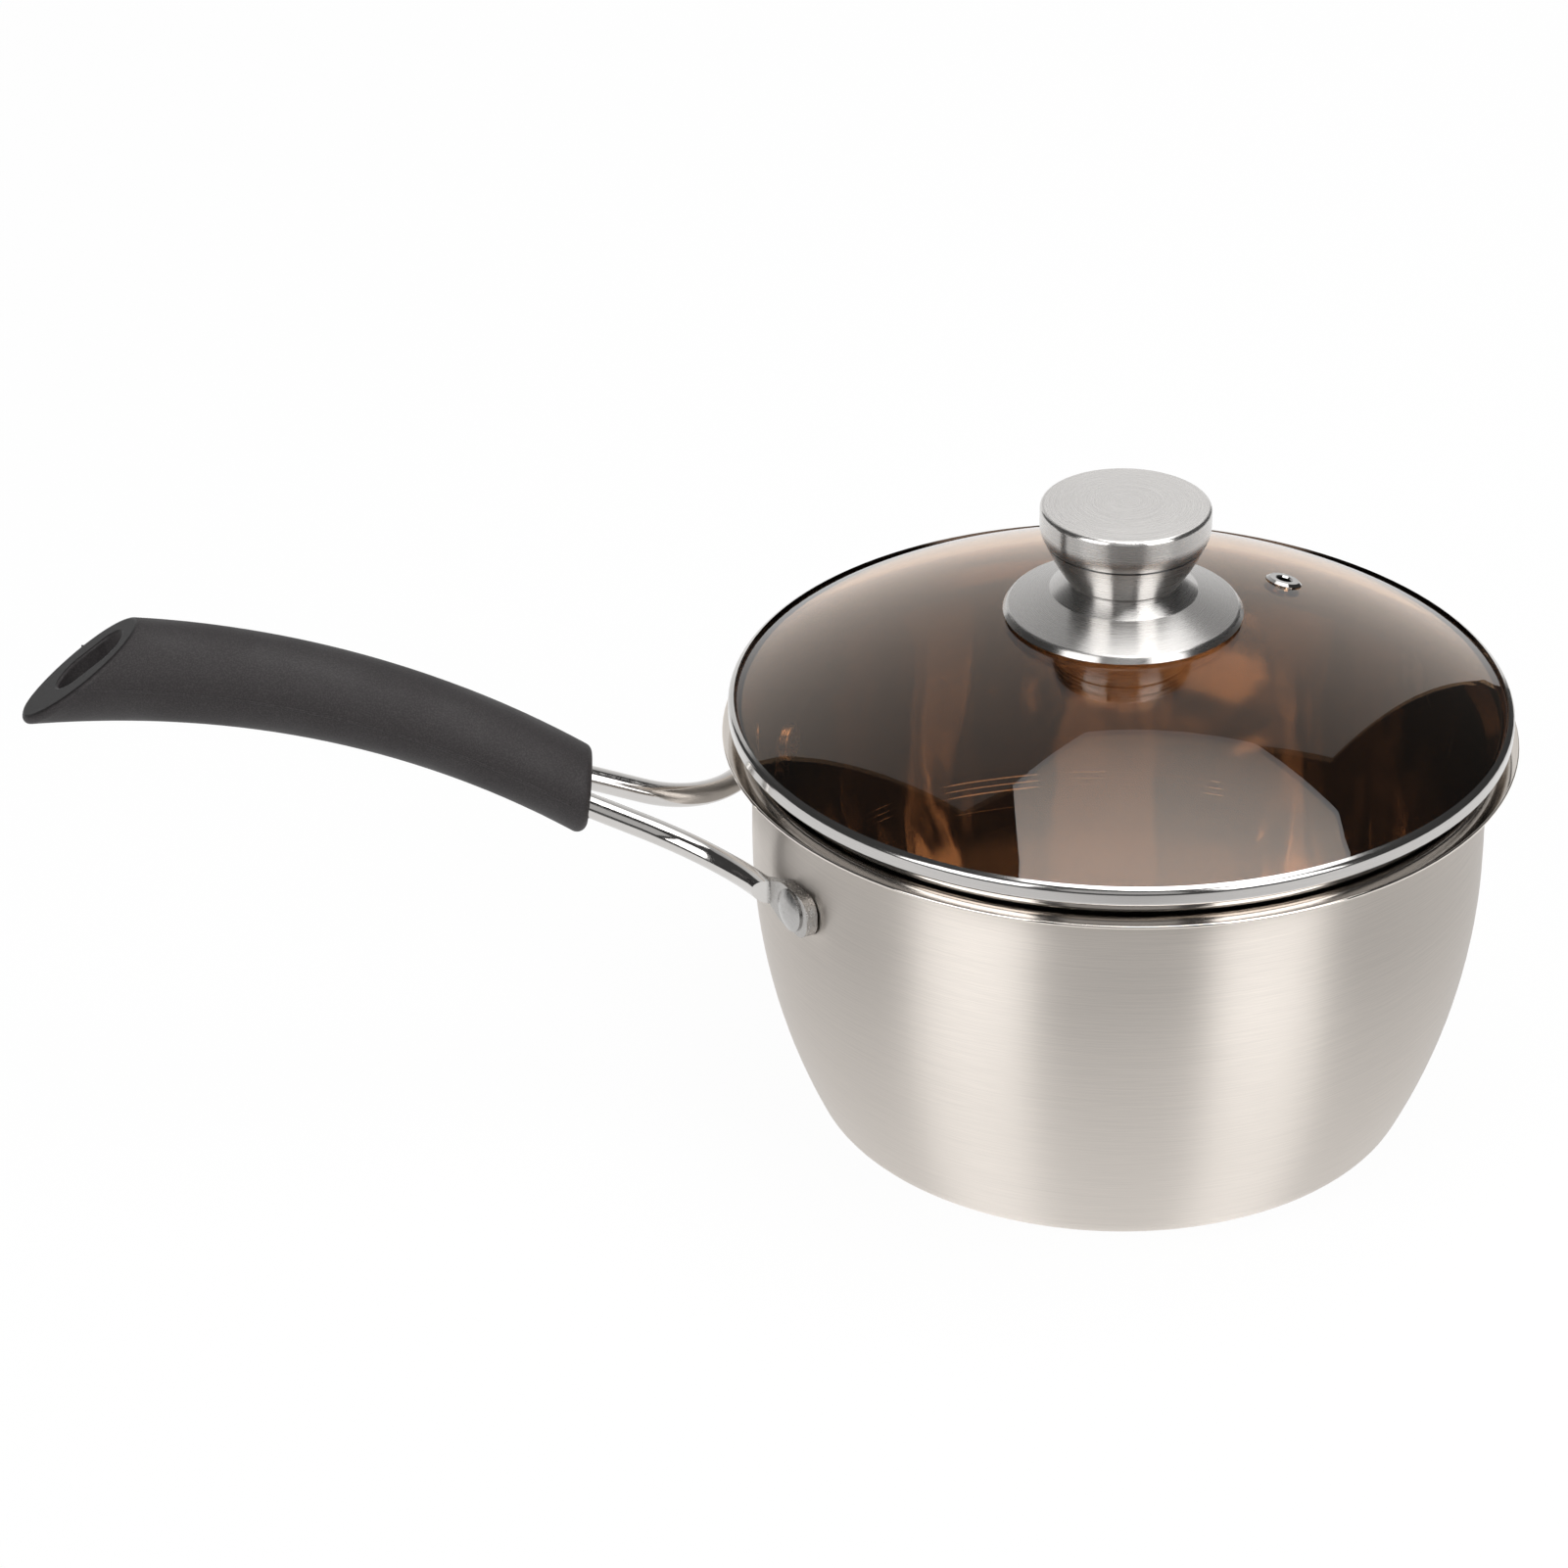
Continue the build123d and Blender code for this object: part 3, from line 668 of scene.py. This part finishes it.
def forged_arm():
    """A polished rod whose flattened lug is satin, with a rough edge where it was sheared."""
    material, tree, output = new_material("forged_arm")
    point = object_point(tree)
    flat = vector_node(tree, "MULTIPLY", point, (1.0, 1.0, 0.0))
    reach = vector_node(tree, "LENGTH", flat)
    lug = ramp(tree, reach, *LUG_EDGE, 1.0, 0.0)
    outward = vector_node(tree, "DOT_PRODUCT", surface_normal(tree), vector_node(tree, "NORMALIZE", flat))
    sheared = math_node(tree, "MULTIPLY", lug, ramp(tree, outward, *SHEARED_FACING, 1.0, 0.0))
    waves = noise(tree, point, ROD_WAVE_SCALE)
    torn = noise(tree, point, TORN_SCALE, 3.0, 0.7)
    rod_rough = ramp(tree, noise(tree, point, DULL_SCALE, 4.0, 0.7), *DULL_SPAN, *ROD_ROUGHNESS)
    rough = mix_values(tree, lug, rod_rough, ramp(tree, torn, *TONE_SPAN, *LUG_ROUGHNESS))
    colour = mix_colours(tree, lug, mix_colours(tree, waves, *ROD_GREYS), LUG_GREY)
    ripple = math_node(tree, "MULTIPLY", waves, ROD_RIPPLE)
    relief = math_node(tree, "ADD", ripple, math_node(tree, "MULTIPLY", torn, sheared))
    steel(tree, output, colour, rough, relief, 1.0, TORN_DEPTH)
    return material


arm_steel = forged_arm()
finish_node("left_arm", arm_steel)
finish_node("right_arm", arm_steel)

# %% [markdown]
# ## Tinted glass
# The lid is pressed from brown tempered glass. Light loses colour on its way in and on its way out,
# so the tint makes the bright inside of the pan look dark and golden. An absorption volume would
# give the same, but a coloured transmission renders faster and suits a sheet of even thickness. A
# path tracer finds small lights through glass only by chance, so shadow rays pass straight through
# and take the tint of one face each time.

# %% Tinted glass
GLASS_TINTS = ((0.66, 0.42, 0.25, 1.0), (0.70, 0.45, 0.27, 1.0))
FACE_TINT = (0.82, 0.66, 0.51, 1.0)
GLASS_IOR = 1.5
TINT_SCALE = 9.0
PRESSING_SCALE = 30.0
PRESSING_BUMP = 0.02
PRESSING_DEPTH = 0.0005


def tea_glass():
    """Tinted glass for sight, with faint waves of pressing, and tinted clear faces for shadows."""
    material, tree, output = new_material("tea_glass")
    point = object_point(tree)
    tint = mix_colours(tree, noise(tree, point, TINT_SCALE, 1.0), *GLASS_TINTS)
    pressing = noise(tree, point, PRESSING_SCALE, 1.0)
    bump = {"Strength": PRESSING_BUMP, "Distance": PRESSING_DEPTH, "Height": pressing}
    waves = add_node(tree, "ShaderNodeBump", None, **bump).outputs[0]
    inputs = {"Base_Color": tint, "Roughness": 0.0, "IOR": GLASS_IOR, "Normal": waves}
    sight = add_node(tree, "ShaderNodeBsdfPrincipled", None, Transmission_Weight=1.0, **inputs).outputs[0]
    shade = add_node(tree, "ShaderNodeBsdfTransparent", None, Color=FACE_TINT).outputs[0]
    shadow = add_node(tree, "ShaderNodeLightPath").outputs["Is Shadow Ray"]
    both = add_node(tree, "ShaderNodeMixShader", None, i0=shadow, i1=sight, i2=shade)
    tree.links.new(both.outputs[0], output.inputs["Surface"])
    return material


finish_node("lid_glass", tea_glass())

# %% [markdown]
# ## Grip
# The grip is moulded from black plastic in a mould with a fine grain, so it is matt with tiny light
# specks. Its slanted end comes from a smoother part of the mould and is glossier, and its colour is
# painted darker as painted shade, since it mirrors the dark room. A mask by the way that the end
# faces tells it from the sides.

# %% Grip
END_FACE_NORMAL = (-0.636, 0.0, 0.772)
END_FACING = (0.80, 0.95)
SIDE_BLACKS = ((0.0175, 0.0150, 0.0154, 1.0), (0.0330, 0.0283, 0.0292, 1.0))
SIDE_ROUGHNESS = (0.56, 0.66)
# painted shade: the slanted end is painted darker than the sides
END_PAINTED_SHADE_BLACK = (0.010, 0.0088, 0.0090, 1.0)
END_ROUGHNESS = 0.45
MOULD_GRAIN_SCALE = 1800.0
MOULD_GRAIN_BUMP = 0.3
MOULD_GRAIN_DEPTH = 0.0001
CLOUD_SCALE = 60.0
SPECK_SCALE = 2600.0
SPECK_SPAN = (0.35, 0.75)
GRIP_SPECULAR = 0.4


def black_grip():
    """Matt black moulding with a fine grain, smoother on its slanted end, with painted shade there."""
    material, tree, output = new_material("black_grip")
    point = object_point(tree)
    facing = vector_node(tree, "DOT_PRODUCT", surface_normal(tree), END_FACE_NORMAL)
    end = ramp(tree, facing, *END_FACING)
    speck = ramp(tree, noise(tree, point, SPECK_SCALE, 1.0), *SPECK_SPAN)
    colour = mix_colours(tree, end, mix_colours(tree, speck, *SIDE_BLACKS), END_PAINTED_SHADE_BLACK)
    side_rough = ramp(tree, noise(tree, point, CLOUD_SCALE), *TONE_SPAN, *SIDE_ROUGHNESS)
    rough = mix_values(tree, end, side_rough, END_ROUGHNESS)
    grain = noise(tree, point, MOULD_GRAIN_SCALE, 3.0, 0.6)
    bump = {"Strength": MOULD_GRAIN_BUMP, "Distance": MOULD_GRAIN_DEPTH, "Height": grain}
    relief = add_node(tree, "ShaderNodeBump", None, **bump).outputs[0]
    inputs = {"Base_Color": colour, "Roughness": rough, "Normal": relief}
    shader = add_node(tree, "ShaderNodeBsdfPrincipled", None, Specular_IOR_Level=GRIP_SPECULAR, **inputs)
    tree.links.new(shader.outputs[0], output.inputs["Surface"])
    return material


grip_black = black_grip()
finish_node("handle_grip", grip_black)

# %% [markdown]
# ## Silicone rings
# Two soft rings keep the steel of the knob off the glass. They are milky clear silicone. Real
# scattering inside them would not show under the knob, so a cloudy grey with a soft gloss is
# enough.

# %% Silicone rings
MILKY_GREYS = (grey(0.62), grey(0.72))
MILKY_SCALE = 200.0
SILICONE_ROUGHNESS = 0.35


def clear_silicone():
    """Milky silicone with faint clouds."""
    material, tree, output = new_material("clear_silicone")
    colour = mix_colours(tree, noise(tree, object_point(tree), MILKY_SCALE), *MILKY_GREYS)
    inputs = {"Base_Color": colour, "Roughness": SILICONE_ROUGHNESS}
    shader = add_node(tree, "ShaderNodeBsdfPrincipled", None, **inputs)
    tree.links.new(shader.outputs[0], output.inputs["Surface"])
    return material


silicone = clear_silicone()
finish_node("glass_pad", silicone)
finish_node("skirt_ring", silicone)

# %% [markdown]
# ## Parting lines of the grip
# The grip is moulded in two halves, and the joint of the mould leaves a fine raised line along each
# side. A bump in the material would vanish at the outline, so each line is a thin oval carried along
# the arched spine of the grip, at the widest place of its side.

# %% Parting lines
SPINE_RADIUS = 0.2265
SPINE_CENTRE = (-0.2583, -0.0999)
SPINE_RANGE = (0.0, 32.2)
LINE_WIDTH = 0.0007
LINE_HEIGHT = 0.00014
STATIONS = 96
CORNERS = 10
grip_low, grip_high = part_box("handle_grip")
half_width = (grip_high[1] - grip_low[1]) / 2


def parting_line(side):
    """An oval at angle u round the line, carried along the spine's arc at angle v from its crest.

    The distance from the spine's centre is its radius plus half a width times sin u, and the place
    across the grip is half the grip's width plus a height times cos u, on the given side.
    """
    v = np.radians(np.linspace(*SPINE_RANGE, STATIONS))[:, None]
    u = np.linspace(0, 2 * np.pi, CORNERS, endpoint=False)[None, :]
    reach = SPINE_RADIUS + LINE_WIDTH / 2 * np.sin(u)
    x = SPINE_CENTRE[0] + reach * np.sin(v)
    y = side * half_width + LINE_HEIGHT * np.cos(u) + 0 * v
    z = SPINE_CENTRE[1] + reach * np.cos(v)
    return np.stack([x, y, z], axis=-1).reshape(-1, 3)


def line_faces(first):
    """Quads between neighbouring ovals and a cap at each end, for points that start at an index."""
    row = np.arange(STATIONS - 1)[:, None] * CORNERS
    here = np.arange(CORNERS)[None, :]
    after = (here + 1) % CORNERS
    quads = np.stack([row + here, row + after, row + CORNERS + after, row + CORNERS + here], axis=-1)
    start_cap = np.arange(CORNERS)[::-1]
    end_cap = np.arange(CORNERS) + (STATIONS - 1) * CORNERS
    caps = np.stack([start_cap, end_cap])
    return (quads.reshape(-1, 4) + first).tolist() + (caps + first).tolist()


line_points = np.vstack([parting_line(1), parting_line(-1)])
line_mesh = bpy.data.meshes.new("grip_parting_lines")
line_mesh.from_pydata(line_points.tolist(), [], line_faces(0) + line_faces(STATIONS * CORNERS))
line_mesh.materials.append(grip_black)
line_mesh.shade_smooth()
parting_lines = bpy.data.objects.new("grip_parting_lines", line_mesh)
scene.collection.objects.link(parting_lines)
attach(parting_lines, "pan")
print("parting lines with", len(line_mesh.polygons), "faces")
